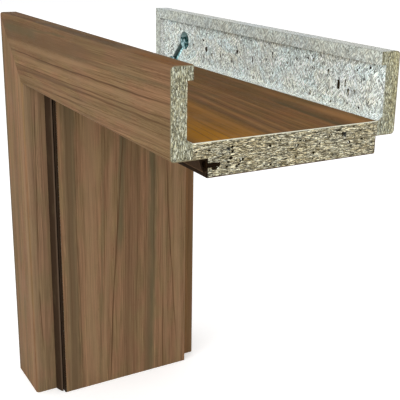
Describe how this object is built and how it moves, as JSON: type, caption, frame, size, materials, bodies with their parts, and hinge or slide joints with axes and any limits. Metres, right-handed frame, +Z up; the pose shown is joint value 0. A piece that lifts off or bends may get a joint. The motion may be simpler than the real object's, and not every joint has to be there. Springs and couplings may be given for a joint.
{
  "type": "adjustable wooden door frame corner",
  "caption": "Mitred corner of a wrap-round interior door frame: rebated lining board, gasket, fixed front architrave and rear architrave that slides to suit the wall.",
  "frame": {"origin": "on the floor, in the rebate corner of the leg, where the rebate's ground meets its wall", "axes": "+X along the head, away from the leg; +Y from the front face to the rear, through the wall; +Z up"},
  "size_m": [0.357, 0.182, 0.381],
  "materials": {
    "chipboard": "raw chipboard, cut ends and unfaced backs",
    "walnut_laminate": "satin walnut laminate, grain along each member",
    "gasket_rubber": "dark brown, matt",
    "zinc_plate": "blue zinc plated steel",
    "beech": "plain beech"
  },
  "bodies": {
    "fixed_frame": {"leg_lining_board": "chipboard", "leg_lining_face_laminate": "walnut_laminate", "leg_lining_back_laminate": "walnut_laminate", "leg_front_architrave_board": "chipboard", "leg_front_architrave_laminate": "walnut_laminate", "leg_gasket": "gasket_rubber", "head_lining_board": "chipboard", "head_lining_face_laminate": "walnut_laminate", "head_lining_back_laminate": "walnut_laminate", "head_front_architrave_board": "chipboard", "head_front_architrave_laminate": "walnut_laminate", "head_gasket": "gasket_rubber", "front_clamp_bolt": "zinc_plate", "front_clamp_nut": "zinc_plate", "front_clamp_head_shoe": "zinc_plate", "front_clamp_leg_shoe": "zinc_plate", "lining_dowel_1": "beech", "lining_dowel_2": "beech", "lining_dowel_3": "beech"},
    "rear_architrave": {"leg_rear_architrave_board": "chipboard", "leg_rear_architrave_laminate": "walnut_laminate", "head_rear_architrave_board": "chipboard", "head_rear_architrave_laminate": "walnut_laminate", "rear_clamp_bolt": "zinc_plate", "rear_clamp_nut": "zinc_plate", "rear_clamp_head_shoe": "zinc_plate", "rear_clamp_leg_shoe": "zinc_plate"}
  },
  "joints": [
    {"name": "rear_architrave_slide", "type": "slide", "parent": "fixed_frame", "child": "rear_architrave", "axis": [0, 1, 0], "range_m": [0, 0.015]}
  ]
}
